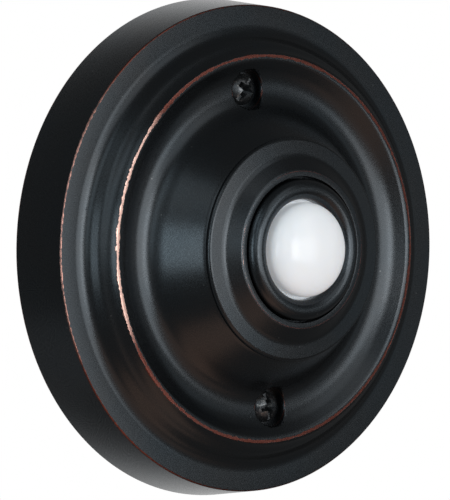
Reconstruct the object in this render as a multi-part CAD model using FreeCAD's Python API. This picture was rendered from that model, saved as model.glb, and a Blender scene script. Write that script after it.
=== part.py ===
# Round surface-mounted doorbell push button: a hollow cast cover with ogee mouldings, a lit pearl
# button in its own turned collar, and the push switch that the collar carries behind the cover.
#
# Every piece is drawn with its axis along +Z, where Z is the height above the wall, X points right
# and Y points up as seen from the front. place() then turns it so that the wall is the plane Y = 0,
# the button faces -Y and the screws lie above and below the axis, along Z.
import FreeCAD, Part
from FreeCAD import Vector
from math import acos, atan2, ceil, cos, degrees, hypot, pi, radians, sin, tan
import os

# How far the short flats of a turned curve may stand off it, in view and at the back
curve_sag = 0.08
back_sag = 0.3

# How far a cutting tool runs past the face that it cuts
overcut = 1.0

# Cover: its rings and steps, from the wall edge inward, and heights above the wall
side_draft = 1.1
lip_height = 10.0
lip_chamfer = 0.25
band_width = 3.0
ogee_width = 3.65
ogee_rise = 2.6
ogee_radius = 3.0
ogee_top_slope = 34.0
cove_width = 1.45
cove_top_slope = 62.0
crest_land = 0.6
crest_fall_slope = -2.0
crest_fall_width = 5.1
crest_fall_radius = 1.2
valley_drop = 2.15
valley_radius = 5.6
dome_width = 8.5
dome_rise = 8.2
dome_root_radius = 4.2
dome_root_slope = 46.0
dome_flank_radius = 10.0
dome_top_radius = 2.5
dome_top_slope = 42.0
hub_step = 0.3
hub_round = 0.6
hub_face_width = 1.8
hub_face_slope = 4.0
shoulder_width = 3.0
shoulder_rise = 1.8
shoulder_root_radius = 2.0
shoulder_top_radius = 0.9
shoulder_top_slope = 17.0
rim_width = 1.0
cover_side_wall = 2.4
cover_wall = 2.2
web_thickness = 2.6
web_land_margin = 0.4

# Screw posts of the cover and the screws that hold it to the wall
post_wall = 1.1
recess_clearance = 0.65
recess_depth = 1.75
screw_head_radius = 2.55
screw_head_side = 0.55
screw_head_height = 1.85
screw_shank_radius = 1.15
screw_thread_radius = 1.4
screw_length = 25.4
screw_point = 4.0
screw_hole_clearance = 0.3
cross_span = 2.7
cross_width = 0.75
cross_depth = 1.2
cross_floor_span = 0.9
cross_floor_width = 0.5
upper_screw_turn = 38.0
lower_screw_turn = 12.0

# Collar round the button
bead_radius = 1.7
button_gap = 0.5
seat_clearance = 0.3
seat_depth = 1.7
bead_foot = 1.45
ledge_drop = 0.85
neck_wall = 1.0
neck_length = 9.3
neck_clearance = 0.05

# Nut and toothed washer behind the web
nut_wall = 2.5
nut_height = 2.6
nut_chamfer_slope = 30.0
washer_overhang = 0.3
washer_ring_width = 1.6
washer_thickness = 0.6
washer_teeth = 8

# Button
button_radius = 7.7
button_skirt = 2.0
button_dome = 4.1
button_wall = 1.3
button_ledge_width = 0.65
button_flange_width = 1.15
button_flange_height = 1.1
guide_clearance = 0.15
stop_clearance = 0.05
travel = 1.5

# Moving contact cup and its spring
cup_metal = 0.4
cup_collar_height = 1.6
cup_brim_width = 1.0
cup_rest_width = 0.8
fit_clearance = 0.05
spring_gap = 0.5
spring_wire = 0.5
spring_pitch = 1.9
spring_steps = 10
wire_sides = 6
coil_end_clearance = 0.02

# Switch housing
housing_tube_wall = 1.1
housing_floor = 1.4
housing_floor_rise = 0.95
housing_flange_width = 1.0
housing_flange_height = 1.3
housing_shell_step = 0.85
housing_shell_wall = 1.6
housing_shell_depth = 4.4
spring_spigot_height = 0.8
lamp_post_radius = 2.6
lamp_post_height = 2.2
lug_width = 3.4
lug_height = 1.4
lug_rise = 0.85
lug_margin = 1.2

# Terminal base and the two contact strips
base_thickness = 1.6
base_spigot = 1.0
rib_thickness = 1.0
rib_margin = 0.5
strip_thickness = 0.5
strip_width = 2.6
strip_tip_length = 1.1
strip_bend_radius = 0.6
strip_inset = 0.65
tab_radius = 2.6

# Terminal screws with their square washers, and the screws that hold the base
terminal_inset = 2.45
terminal_washer_side = 4.6
terminal_washer_thickness = 0.5
terminal_head_radius = 2.4
terminal_head_height = 1.3
terminal_shank_radius = 1.4
terminal_shank_length = 3.1
terminal_screw_turn = 25.0
housing_screw_radius = 0.9
housing_screw_length = 4.6
housing_head_radius = 1.75
housing_head_height = 1.1
housing_boss_radius = 1.9
housing_boss_gap = 0.2
housing_screw_turn = 70.0
slot_width = 0.7
slot_depth = 0.6

# Lamp, its leads and the series resistor
lamp_radius = 1.5
lamp_length = 5.3
lamp_flange_radius = 1.9
lamp_flange_height = 1.0
lamp_flat = 0.2
lead_pitch = 2.54
lead_radius = 0.25
lead_drop = 2.2
lead_bend_radius = 0.7
resistor_radius = 0.9
resistor_length = 3.0
resistor_gap = 0.9


def slope_normal(slope):
    """Outward normal, in the radius-height plane, of a surface that rises inward at this slope."""
    return sin(radians(slope)), cos(radians(slope))


# Radii and heights that follow from the sizes above: button, collar and neck
bead_mid_radius = button_radius + button_gap + bead_radius
bezel_outer_radius = bead_mid_radius + bead_radius
seat_radius = bezel_outer_radius + seat_clearance
button_bore_radius = bead_mid_radius - bead_radius
button_flange_radius = button_radius + button_flange_width
neck_bore_radius = button_flange_radius + guide_clearance
neck_radius = neck_bore_radius + neck_wall
web_bore_radius = neck_radius + neck_clearance
nut_flats = 2 * (neck_radius + nut_wall)
nut_corner_radius = nut_flats / 2 / cos(radians(30))
washer_outer_radius = nut_flats / 2 + washer_overhang

# Cover, from its outer rings to the hub round the collar
ogee_top_height = lip_height + ogee_rise
cove_radius = cove_width / (sin(radians(cove_top_slope)) - sin(radians(ogee_top_slope)))
cove_rise = cove_radius * (cos(radians(ogee_top_slope)) - cos(radians(cove_top_slope)))
crest_height = ogee_top_height + cove_rise
valley_height = crest_height - valley_drop
foot_height = valley_height + dome_rise
hub_face_height = foot_height + hub_step + hub_round * cos(radians(hub_face_slope))
hub_face_rise = hub_face_width * tan(radians(hub_face_slope))
rim_outer_radius = seat_radius + rim_width
shoulder_radius = rim_outer_radius + shoulder_width
hub_edge_radius = shoulder_radius + hub_face_width
hub_foot_radius = hub_edge_radius + hub_round * (1 - sin(radians(hub_face_slope)))
screw_circle_radius = hub_edge_radius + dome_width
crest_inner_radius = screw_circle_radius + crest_fall_width
crest_radius = crest_inner_radius + crest_land
ogee_top_radius = crest_radius + cove_width
band_inner_radius = ogee_top_radius + ogee_width
lip_radius = band_inner_radius + band_width
cover_foot_radius = lip_radius + side_draft
rim_height = hub_face_height + hub_face_rise + shoulder_rise
seat_height = rim_height - seat_depth
web_back_height = seat_height - web_thickness
web_land_radius = nut_corner_radius + web_land_margin

# Screw posts
recess_floor = valley_height - recess_depth
recess_radius = screw_head_radius + recess_clearance
post_radius = recess_radius + post_wall
screw_hole_radius = screw_thread_radius + screw_hole_clearance

# Heights of the collar, the button and the contact cup
bead_centre_height = seat_height + bead_foot
ledge_height = bead_centre_height - ledge_drop
neck_end = seat_height - neck_length
washer_back_height = web_back_height - washer_thickness
nut_back_height = washer_back_height - nut_height
flange_top = ledge_height - stop_clearance
button_base = flange_top - button_flange_height
skirt_top = flange_top + button_skirt
button_inner_radius = button_radius - button_wall
cavity_radius = button_inner_radius - button_ledge_width
cup_top = button_base + cup_collar_height
cup_collar_radius = button_inner_radius - fit_clearance
cup_brim_radius = cup_collar_radius + cup_brim_width
cup_brim_back = button_base - cup_metal
spring_mean_radius = cup_collar_radius - cup_metal - spring_gap - spring_wire / 2
cup_hole_radius = spring_mean_radius - cup_rest_width

# Switch housing, contact strips, terminals and lamp
housing_rim = button_base - travel - stop_clearance
strip_tip_height = cup_brim_back - travel - stop_clearance
housing_tube_radius = neck_bore_radius - guide_clearance
housing_tube_bore = housing_tube_radius - housing_tube_wall
flange_front = neck_end - stop_clearance
flange_back = flange_front - housing_flange_height
floor_back = flange_back + housing_floor_rise
floor_top = floor_back + housing_floor
shell_back = flange_back - housing_shell_depth
shell_bore = housing_tube_bore + housing_shell_step
housing_shell_radius = shell_bore + housing_shell_wall
housing_flange_radius = housing_shell_radius + housing_flange_width
housing_screw_offset = shell_bore - housing_boss_radius - housing_boss_gap
lug_low = neck_end + lug_margin
base_back = shell_back - base_thickness
base_inner = shell_back + base_spigot
strip_offset = housing_tube_bore - strip_inset - strip_thickness / 2
strip_inner_face = strip_offset - strip_thickness / 2
terminal_offset = strip_offset - terminal_inset
tab_back = base_back - strip_thickness
terminal_washer_back = tab_back - terminal_washer_thickness
lead_turn_height = floor_back - lead_drop
resistor_start = lead_pitch / 2 + resistor_gap


class Outline:
    """Outline in the radius-height plane, drawn corner by corner and then turned round the axis."""

    def __init__(self, radius, height, sag=curve_sag):
        self.points = [(radius, height)]
        self.sag = sag

    def line(self, radius, height):
        at = self.points[-1]
        if hypot(radius - at[0], height - at[1]) > 1e-6:
            self.points.append((radius, height))

    def back_along(self, other):
        """Follow another outline from its end to its start."""
        for radius, height in reversed(other.points):
            self.line(radius, height)

    def oval(self, centre, radius, height, angle_from, angle_to):
        """Part of an ellipse about the centre, as flats that stand off it by the outline's sag."""
        step = 2 * degrees(acos(max(0, 1 - self.sag / max(radius, height))))
        steps = max(1, ceil(abs(angle_to - angle_from) / step))
        for i in range(steps + 1):
            angle = radians(angle_from + (angle_to - angle_from) * i / steps)
            self.line(centre[0] + radius * cos(angle), centre[1] + height * sin(angle))

    def turn(self, slope_from, slope_to, bend_radius):
        """Bend of this radius on which the inward slope goes from one angle to the other."""
        at = self.points[-1]
        hollow = slope_to > slope_from
        side = 1 if hollow else -1
        from_x, from_z = slope_normal(slope_from)
        centre = (at[0] + side * bend_radius * from_x, at[1] + side * bend_radius * from_z)
        base = 270 if hollow else 90
        self.oval(centre, bend_radius, bend_radius, base - slope_from, base - slope_to)

    def ogee(self, target, slope_from, slope_to, radius_from, radius_to, hollow_first=True):
        """Two opposite bends joined by a straight flank tangent to both, ending at the target."""
        at = self.points[-1]
        first = 1 if hollow_first else -1
        from_x, from_z = slope_normal(slope_from)
        to_x, to_z = slope_normal(slope_to)
        centre_0 = (at[0] + first * radius_from * from_x, at[1] + first * radius_from * from_z)
        centre_1 = (target[0] - first * radius_to * to_x, target[1] - first * radius_to * to_z)
        across = (centre_1[0] - centre_0[0], centre_1[1] - centre_0[1])
        lean = atan2(across[0], across[1])
        flank = degrees(lean + acos(-first * (radius_from + radius_to) / hypot(*across)))
        flank_x, flank_z = slope_normal(flank)
        self.turn(slope_from, flank, radius_from)
        self.line(centre_1[0] + first * radius_to * flank_x, centre_1[1] + first * radius_to * flank_z)
        self.turn(flank, slope_to, radius_to)

    def revolve(self):
        corners = [Vector(radius, 0, height) for radius, height in self.points + self.points[:1]]
        solid = Part.Face(Part.makePolygon(corners)).revolve(Vector(0, 0, 0), Vector(0, 0, 1), 360)
        if solid.Volume < 0:
            solid.reverse()
        return solid


def cylinder(radius, low, high, x=0.0, y=0.0):
    return Part.makeCylinder(radius, high - low, Vector(x, y, low))


def ring(outer, inner, low, high):
    return cylinder(outer, low, high).cut(cylinder(inner, low, high))


def block(size_x, size_y, low, high, x=0.0, y=0.0):
    return Part.makeBox(size_x, size_y, high - low, Vector(x - size_x / 2, y - size_y / 2, low))


def turned(shape, angle):
    """The shape turned about the axis by this many degrees."""
    copy = shape.copy()
    copy.rotate(Vector(0, 0, 0), Vector(0, 0, 1), angle)
    return copy


def moved(shape, x=0.0, y=0.0, z=0.0):
    copy = shape.copy()
    copy.translate(Vector(x, y, z))
    return copy


def bent_path(points, bend_radius):
    """Straight runs between the points, joined by tangent arcs."""
    edges = []
    at = points[0]
    for corner, after in zip(points[1:-1], points[2:]):
        before_run = (at - corner).normalize()
        after_run = (after - corner).normalize()
        half = before_run.getAngle(after_run) / 2
        start = corner + before_run * (bend_radius / tan(half))
        end = corner + after_run * (bend_radius / tan(half))
        middle = (before_run + after_run).normalize()
        via = corner + middle * (bend_radius / sin(half) - bend_radius)
        edges.append(Part.LineSegment(at, start).toShape())
        edges.append(Part.Arc(start, via, end).toShape())
        at = end
    edges.append(Part.LineSegment(at, points[-1]).toShape())
    return Part.Wire(edges)


def sweep(section, path):
    return path.makePipeShell([section], True, False)


def wire_section(centre, across, up):
    """Many-sided section of a round wire, in the plane of the two given radii."""
    angles = [2 * pi * i / wire_sides for i in range(wire_sides)]
    corners = [centre + across * cos(angle) + up * sin(angle) for angle in angles]
    return Part.makePolygon(corners + corners[:1])


def cross_recess(top):
    """Tapered cross recess of a cross-head screw, open at height top."""
    corners = ((-0.5, -0.5), (0.5, -0.5), (0.5, 0.5), (-0.5, 0.5), (-0.5, -0.5))
    upper = Part.makePolygon([Vector(x * cross_span, y * cross_width, top) for x, y in corners])
    lower = Part.makePolygon([Vector(x * cross_floor_span, y * cross_floor_width, top - cross_depth)
                              for x, y in corners])
    arm = Part.makeLoft([upper, lower], True)
    return arm.fuse(turned(arm, 90))


def place(shape):
    """Turn a piece from the drawing's axes to the object's own: height above the wall along -Y."""
    shape.rotate(Vector(0, 0, 0), Vector(1, 0, 0), 90)
    return shape


def dome(outline, offset):
    """Flank of the dome from the valley up to the hub, moved inward by the given wall."""
    top_x, top_z = slope_normal(dome_top_slope)
    target = (hub_foot_radius - offset * top_x, foot_height - offset * top_z)
    outline.turn(0, dome_root_slope, dome_root_radius + offset)
    outline.ogee(target, dome_root_slope, dome_top_slope,
                 dome_flank_radius + offset, dome_top_radius - offset)


def cover_front(outline):
    """Mouldings of the front, from the wall edge to the bore that takes the collar."""
    outline.line(lip_radius, lip_height - lip_chamfer)
    outline.line(lip_radius - lip_chamfer, lip_height)
    outline.line(band_inner_radius, lip_height)
    outline.ogee((ogee_top_radius, ogee_top_height), 0, ogee_top_slope, ogee_radius, ogee_radius)
    outline.turn(ogee_top_slope, cove_top_slope, cove_radius)
    outline.line(crest_inner_radius, crest_height)
    outline.ogee((screw_circle_radius, valley_height), crest_fall_slope, 0,
                 crest_fall_radius, valley_radius, hollow_first=False)
    dome(outline, 0)
    hub(outline)


def hub(outline):
    """Stepped hub: a face with a round edge, a hollow shoulder and a thin rim round the seat."""
    outline.line(hub_foot_radius, foot_height + hub_step)
    outline.turn(90, hub_face_slope, hub_round)
    outline.line(shoulder_radius, hub_face_height + hub_face_rise)
    outline.ogee((rim_outer_radius, rim_height), hub_face_slope, shoulder_top_slope,
                 shoulder_root_radius, shoulder_top_radius)
    outline.line(seat_radius, rim_height)
    outline.line(seat_radius, seat_height)


def cover_back(outline):
    """Hollow back, one wall thick behind the mouldings."""
    outline.line(web_bore_radius, seat_height)
    outline.line(web_bore_radius, web_back_height)
    outline.line(web_land_radius, web_back_height)
    inside = Outline(screw_circle_radius, valley_height - cover_wall, back_sag)
    dome(inside, cover_wall)
    outline.back_along(inside)
    outline.line(crest_inner_radius, valley_height - cover_wall)
    outline.line(band_inner_radius - cover_wall, lip_height - cover_wall)
    outline.line(lip_radius - cover_side_wall, lip_height - cover_wall)
    outline.line(lip_radius - cover_side_wall, 0)


def cover_plate():
    outline = Outline(cover_foot_radius, 0)
    cover_front(outline)
    cover_back(outline)
    cover = outline.revolve()
    for side in (1, -1):
        y = side * screw_circle_radius
        cover = cover.fuse(cylinder(post_radius, 0, valley_height - cover_wall / 2, y=y))
        cover = cover.cut(cylinder(screw_hole_radius, -overcut, crest_height, y=y))
        cover = cover.cut(cylinder(recess_radius, recess_floor, foot_height, y=y))
    return cover.removeSplitter()


def bezel_ring():
    """Half-round bead on a flange, with a thin neck behind that carries nut and switch."""
    outline = Outline(bezel_outer_radius, seat_height)
    outline.line(bezel_outer_radius, bead_centre_height)
    outline.oval((bead_mid_radius, bead_centre_height), bead_radius, bead_radius, 0, 180)
    outline.line(button_bore_radius, ledge_height)
    outline.line(neck_bore_radius, ledge_height)
    outline.line(neck_bore_radius, neck_end)
    outline.line(neck_radius, neck_end)
    outline.line(neck_radius, seat_height)
    bezel = outline.revolve()
    for side in (1, -1):
        window = block(lug_width + 2 * guide_clearance, 2 * (neck_wall + overcut),
                       lug_low - guide_clearance, lug_low + lug_height + guide_clearance,
                       y=side * neck_radius)
        bezel = bezel.cut(window)
    return bezel


def retaining_nut():
    """Thin six-sided nut, its corners turned down at the back."""
    angles = [radians(60 * i) for i in range(7)]
    corners = [Vector(nut_corner_radius * cos(angle), nut_corner_radius * sin(angle), nut_back_height)
               for angle in angles]
    prism = Part.Face(Part.makePolygon(corners)).extrude(Vector(0, 0, nut_height))
    blank_radius = nut_corner_radius + overcut
    rise = (blank_radius - nut_flats / 2) * tan(radians(nut_chamfer_slope))
    blank = Outline(0, nut_back_height)
    blank.line(nut_flats / 2, nut_back_height)
    blank.line(blank_radius, nut_back_height + rise)
    blank.line(blank_radius, washer_back_height)
    blank.line(0, washer_back_height)
    nut = prism.common(blank.revolve())
    return nut.cut(cylinder(web_bore_radius, nut_back_height - overcut, washer_back_height + overcut))


def lock_washer():
    """Flat ring with square teeth round its bore."""
    washer = ring(washer_outer_radius, web_bore_radius, washer_back_height, web_back_height)
    tooth_root = washer_outer_radius - washer_ring_width
    notch_width = pi * tooth_root / washer_teeth
    notch_depth = tooth_root - web_bore_radius
    notch = block(2 * notch_depth, notch_width, washer_back_height - overcut,
                  web_back_height + overcut, x=tooth_root - notch_depth)
    for i in range(washer_teeth):
        washer = washer.cut(turned(notch, 360 / washer_teeth * i))
    return washer


def button_cap():
    """Thin moulded dome on a skirt, with the flange that stops it under the collar's ledge."""
    outline = Outline(button_radius, flange_top)
    outline.oval((0, skirt_top), button_radius, button_dome, 0, 90)
    inside = Outline(cavity_radius, skirt_top, back_sag)
    inside.oval((0, skirt_top), cavity_radius, button_dome - button_wall, 0, 90)
    outline.back_along(inside)
    outline.line(cavity_radius, cup_top + fit_clearance)
    outline.line(button_inner_radius, cup_top + fit_clearance)
    outline.line(button_inner_radius, button_base)
    outline.line(button_flange_radius, button_base)
    outline.line(button_flange_radius, flange_top)
    return outline.revolve()


def contact_cup():
    """Drawn metal cup pressed into the button: its brim bridges the two strips."""
    outline = Outline(cup_brim_radius, cup_brim_back)
    outline.line(cup_brim_radius, button_base)
    outline.line(cup_collar_radius, button_base)
    outline.line(cup_collar_radius, cup_top)
    outline.line(cup_hole_radius, cup_top)
    outline.line(cup_hole_radius, cup_top - cup_metal)
    outline.line(cup_collar_radius - cup_metal, cup_top - cup_metal)
    outline.line(cup_collar_radius - cup_metal, cup_brim_back)
    return outline.revolve()


def return_spring():
    """Compression spring with ground ends, between the housing floor and the contact cup."""
    low = floor_top + coil_end_clearance
    high = cup_top - cup_metal - coil_end_clearance
    turns = (high - low) / spring_pitch + 1
    steps = round(turns * spring_steps)
    lift = spring_pitch / (2 * pi * spring_mean_radius)
    sections = []
    for i in range(steps + 1):
        angle = 2 * pi * turns * i / steps
        out = Vector(cos(angle), sin(angle), 0)
        along = Vector(-sin(angle), cos(angle), lift).normalize()
        height = low + spring_pitch * (turns * i / steps - 0.5)
        centre = out * spring_mean_radius + Vector(0, 0, height)
        sections.append(wire_section(centre, out * (spring_wire / 2), out.cross(along) * (spring_wire / 2)))
    coil = Part.makeLoft(sections, True, True)
    return coil.common(cylinder(spring_mean_radius + spring_wire, low, high))


def switch_housing():
    """Moulded body: guide tube in the neck, floor with lamp post, and the terminal shell behind."""
    body = cylinder(housing_tube_radius, floor_back, housing_rim)
    body = body.fuse(cylinder(housing_flange_radius, flange_back, flange_front))
    body = body.fuse(cylinder(housing_shell_radius, shell_back, flange_back))
    body = body.cut(cylinder(housing_tube_bore, floor_top, housing_rim))
    body = body.cut(cylinder(shell_bore, shell_back, floor_back))
    for side in (1, -1):
        y = side * housing_screw_offset
        body = body.fuse(cylinder(housing_boss_radius, base_inner + stop_clearance, floor_back, y=y))
        body = body.cut(cylinder(housing_screw_radius + fit_clearance, shell_back, floor_back, y=y))
        body = body.fuse(snap_lug(side))
    coil_inner_radius = spring_mean_radius * cos(pi / spring_steps) - spring_wire / 2
    spigot_radius = coil_inner_radius - guide_clearance
    body = body.fuse(cylinder(spigot_radius, floor_top, floor_top + spring_spigot_height))
    body = body.fuse(cylinder(lamp_post_radius, floor_top, floor_top + lamp_post_height))
    for side in (1, -1):
        bore = cylinder(lead_radius + fit_clearance, floor_back - overcut, housing_rim,
                        x=side * lead_pitch / 2)
        slot = strip_slot(side, floor_back - overcut, floor_top + overcut)
        body = body.cut(bore).cut(slot)
    return body.removeSplitter()


def snap_lug(side):
    """Lug on the guide tube that snaps into a window of the collar's neck."""
    lug = block(lug_width, 2 * lug_rise, lug_low, lug_low + lug_height, y=side * housing_tube_radius)
    reach = ring(housing_tube_radius + lug_rise, housing_tube_bore, lug_low, lug_low + lug_height)
    return lug.common(reach)


def strip_slot(side, low, high):
    return block(strip_thickness + 2 * fit_clearance, strip_width + 2 * fit_clearance, low, high,
                 x=side * strip_offset)


def terminal_base():
    """Moulded plate that closes the housing and carries the two terminals."""
    base = cylinder(housing_shell_radius, base_back, shell_back)
    base = base.fuse(cylinder(shell_bore - fit_clearance, shell_back, base_inner))
    for side in (1, -1):
        bend_room = block(strip_bend_radius, strip_width + 2 * fit_clearance, base_back,
                          base_back + strip_bend_radius,
                          x=side * (strip_inner_face - strip_bend_radius / 2))
        hole = cylinder(terminal_shank_radius + fit_clearance, base_back,
                        terminal_washer_back + terminal_shank_length + stop_clearance,
                        x=side * terminal_offset)
        screw_way = cylinder(housing_screw_radius + guide_clearance, base_back, base_inner,
                             y=side * housing_screw_offset)
        base = base.cut(strip_slot(side, base_back, base_inner)).cut(bend_room)
        base = base.cut(hole).cut(screw_way)
    rib_length = 2 * (housing_screw_offset - housing_head_radius - rib_margin)
    return base.fuse(block(rib_thickness, rib_length, terminal_washer_back, base_back))


def contact_strip(side):
    """Bent brass strip: contact tip in front, leg through floor and base, round tab behind."""
    tip = strip_tip_height - strip_thickness / 2
    tab = base_back - strip_thickness / 2
    start = Vector(side * (strip_offset - strip_tip_length), 0, tip)
    path = bent_path([start, Vector(side * strip_offset, 0, tip), Vector(side * strip_offset, 0, tab),
                      Vector(side * terminal_offset, 0, tab)], strip_bend_radius)
    corners = ((-0.5, -0.5), (0.5, -0.5), (0.5, 0.5), (-0.5, 0.5), (-0.5, -0.5))
    section = Part.makePolygon([start + Vector(0, y * strip_width, z * strip_thickness)
                                for y, z in corners])
    strip = sweep(section, path).fuse(cylinder(tab_radius, tab_back, base_back, x=side * terminal_offset))
    hole = cylinder(terminal_shank_radius + fit_clearance, tab_back - overcut, base_back + overcut,
                    x=side * terminal_offset)
    return strip.cut(hole)


def terminal_washer(side):
    washer = block(terminal_washer_side, terminal_washer_side, terminal_washer_back, tab_back,
                   x=side * terminal_offset)
    return washer.cut(cylinder(terminal_shank_radius + fit_clearance, terminal_washer_back - overcut,
                               tab_back + overcut, x=side * terminal_offset))


def machine_screw(head_radius, head_height, shank_radius, shank_length):
    """Slotted screw pointing up from its head, with the head's underside at height 0."""
    screw = cylinder(head_radius, -head_height, 0).fuse(cylinder(shank_radius, 0, shank_length))
    slot = block(2 * (head_radius + overcut), slot_width, -head_height - overcut, slot_depth - head_height)
    return screw.cut(slot)


def terminal_screw(side):
    screw = machine_screw(terminal_head_radius, terminal_head_height, terminal_shank_radius,
                          terminal_shank_length)
    return moved(turned(screw, terminal_screw_turn * side), x=side * terminal_offset,
                 z=terminal_washer_back)


def housing_screw(side):
    screw = machine_screw(housing_head_radius, housing_head_height, housing_screw_radius,
                          housing_screw_length)
    return moved(turned(screw, housing_screw_turn * side), y=side * housing_screw_offset, z=base_back)


def mounting_screw(side, turn):
    """Round-headed cross-head wood screw: plain through the cover's post, threaded in the wall."""
    crown = recess_floor + screw_head_height
    shoulder = recess_floor + screw_head_side
    tip = recess_floor - screw_length
    rise = crown - shoulder
    bend = (screw_head_radius ** 2 + rise ** 2) / (2 * rise)
    outline = Outline(0, tip)
    outline.line(screw_thread_radius, tip + screw_point)
    outline.line(screw_thread_radius, 0)
    outline.line(screw_shank_radius, 0)
    outline.line(screw_shank_radius, recess_floor)
    outline.line(screw_head_radius, recess_floor)
    outline.line(screw_head_radius, shoulder)
    outline.oval((0, crown - bend), bend, bend, degrees(acos(screw_head_radius / bend)), 90)
    screw = outline.revolve().cut(turned(cross_recess(crown), turn))
    return moved(screw, y=side * screw_circle_radius)


def led_lamp():
    """Round-nosed lamp on a flange with one flat, standing on the housing's post."""
    base = floor_top + lamp_post_height
    nose = base + lamp_length - lamp_radius
    outline = Outline(0, base)
    outline.line(lamp_flange_radius, base)
    outline.line(lamp_flange_radius, base + lamp_flange_height)
    outline.line(lamp_radius, base + lamp_flange_height)
    outline.oval((0, nose), lamp_radius, lamp_radius, 0, 90)
    flat = block(lamp_flange_radius, 2 * lamp_flange_radius, base - overcut,
                 base + lamp_flange_height, x=1.5 * lamp_flange_radius - lamp_flat)
    return outline.revolve().cut(flat)


def lamp_lead(side, end):
    """Lead from the lamp through the floor, then outward behind it to its end."""
    x = side * lead_pitch / 2
    start = Vector(x, 0, floor_top + lamp_post_height)
    path = bent_path([start, Vector(x, 0, lead_turn_height), Vector(side * end, 0, lead_turn_height)],
                     lead_bend_radius)
    return sweep(wire_section(start, Vector(lead_radius, 0, 0), Vector(0, lead_radius, 0)), path)


def lamp_resistor():
    """Series resistor between the right lead and the right strip, with its own outer lead."""
    end = resistor_start + resistor_length
    resistor = cylinder(resistor_radius, resistor_start, end)
    resistor = resistor.fuse(cylinder(lead_radius, end, strip_inner_face))
    resistor.rotate(Vector(0, 0, 0), Vector(0, 1, 0), 90)
    return moved(resistor, z=lead_turn_height)


def pieces():
    return {
        "cover_plate": cover_plate(),
        "bezel_ring": bezel_ring(),
        "lock_washer": lock_washer(),
        "retaining_nut": retaining_nut(),
        "button_cap": button_cap(),
        "contact_cup": contact_cup(),
        "return_spring": return_spring(),
        "switch_housing": switch_housing(),
        "terminal_base": terminal_base(),
        "contact_strip_left": contact_strip(-1),
        "contact_strip_right": contact_strip(1),
        "terminal_washer_left": terminal_washer(-1),
        "terminal_washer_right": terminal_washer(1),
        "terminal_screw_left": terminal_screw(-1),
        "terminal_screw_right": terminal_screw(1),
        "housing_screw_upper": housing_screw(1),
        "housing_screw_lower": housing_screw(-1),
        "led_lamp": led_lamp(),
        "lamp_lead_left": lamp_lead(-1, strip_inner_face),
        "lamp_lead_right": lamp_lead(1, resistor_start),
        "lamp_resistor": lamp_resistor(),
        "mounting_screw_upper": mounting_screw(1, upper_screw_turn),
        "mounting_screw_lower": mounting_screw(-1, lower_screw_turn),
    }


os.makedirs("parts", exist_ok=True)
for name, shape in pieces().items():
    place(shape).exportStep("parts/" + name + ".step")
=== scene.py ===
# Looks of a round doorbell push button: dark rubbed-bronze cover with copper showing at its worn
# edges, a pearl button in a half-round collar, two cross-head screws and the switch behind.
#
# The wall is the plane Y = 0 and the button faces -Y. Outlines are drawn in the plane of the radius
# and the height above the wall, which lies along X and -Y, and are then spun about the Y axis.
import math

import bmesh
import bpy
from mathutils import Matrix, Vector


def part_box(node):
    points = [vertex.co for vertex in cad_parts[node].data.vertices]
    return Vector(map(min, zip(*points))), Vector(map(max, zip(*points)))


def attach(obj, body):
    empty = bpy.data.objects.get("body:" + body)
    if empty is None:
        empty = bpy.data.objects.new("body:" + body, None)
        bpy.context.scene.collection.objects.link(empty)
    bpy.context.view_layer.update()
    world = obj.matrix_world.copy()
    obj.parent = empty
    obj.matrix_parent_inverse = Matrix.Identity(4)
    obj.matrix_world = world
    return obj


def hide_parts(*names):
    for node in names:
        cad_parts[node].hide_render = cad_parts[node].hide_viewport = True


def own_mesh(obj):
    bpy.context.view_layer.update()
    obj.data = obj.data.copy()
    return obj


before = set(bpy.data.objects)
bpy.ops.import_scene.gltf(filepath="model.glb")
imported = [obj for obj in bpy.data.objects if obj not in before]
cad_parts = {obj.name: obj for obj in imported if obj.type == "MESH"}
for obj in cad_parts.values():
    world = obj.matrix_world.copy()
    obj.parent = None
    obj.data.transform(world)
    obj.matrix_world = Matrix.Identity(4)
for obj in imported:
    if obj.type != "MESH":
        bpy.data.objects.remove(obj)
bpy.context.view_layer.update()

MM = 0.001

# Cover: rings and heights above the wall
cover_foot_radius = 41.1 * MM
lip_radius = 40.0 * MM
lip_height = 10.0 * MM
lip_round = 0.28 * MM
band_width = 3.0 * MM
ogee_width = 3.65 * MM
ogee_rise = 2.6 * MM
ogee_radius = 3.0 * MM
ogee_top_slope = 34.0
cove_width = 1.45 * MM
cove_top_slope = 62.0
crest_land = 0.6 * MM
crest_round = 0.16 * MM
crest_fall_slope = -2.0
crest_fall_radius = 1.2 * MM
valley_drop = 2.15 * MM
valley_radius = 5.6 * MM
screw_circle_radius = 26.2 * MM
dome_rise = 8.2 * MM
dome_root_radius = 4.2 * MM
dome_root_slope = 46.0
dome_flank_radius = 10.0 * MM
dome_top_radius = 2.5 * MM
dome_top_slope = 42.0
hub_step = 0.3 * MM
hub_round = 0.6 * MM
hub_face_width = 1.8 * MM
hub_face_slope = 4.0
shoulder_width = 3.0 * MM
shoulder_rise = 1.8 * MM
shoulder_root_radius = 2.0 * MM
shoulder_top_radius = 0.9 * MM
shoulder_top_slope = 17.0
rim_width = 1.0 * MM
rim_round = 0.12 * MM
cover_wall = 2.2 * MM
cover_side_wall = 2.4 * MM
web_thickness = 2.6 * MM
web_land_radius = 14.8 * MM
bore_clearance = 0.05 * MM

# Screw posts and their counterbores
post_radius = 4.3 * MM
recess_radius = 3.2 * MM
recess_depth = 1.75 * MM
recess_round = 0.3 * MM
recess_fold = 35.0
screw_hole_radius = 1.7 * MM

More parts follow.
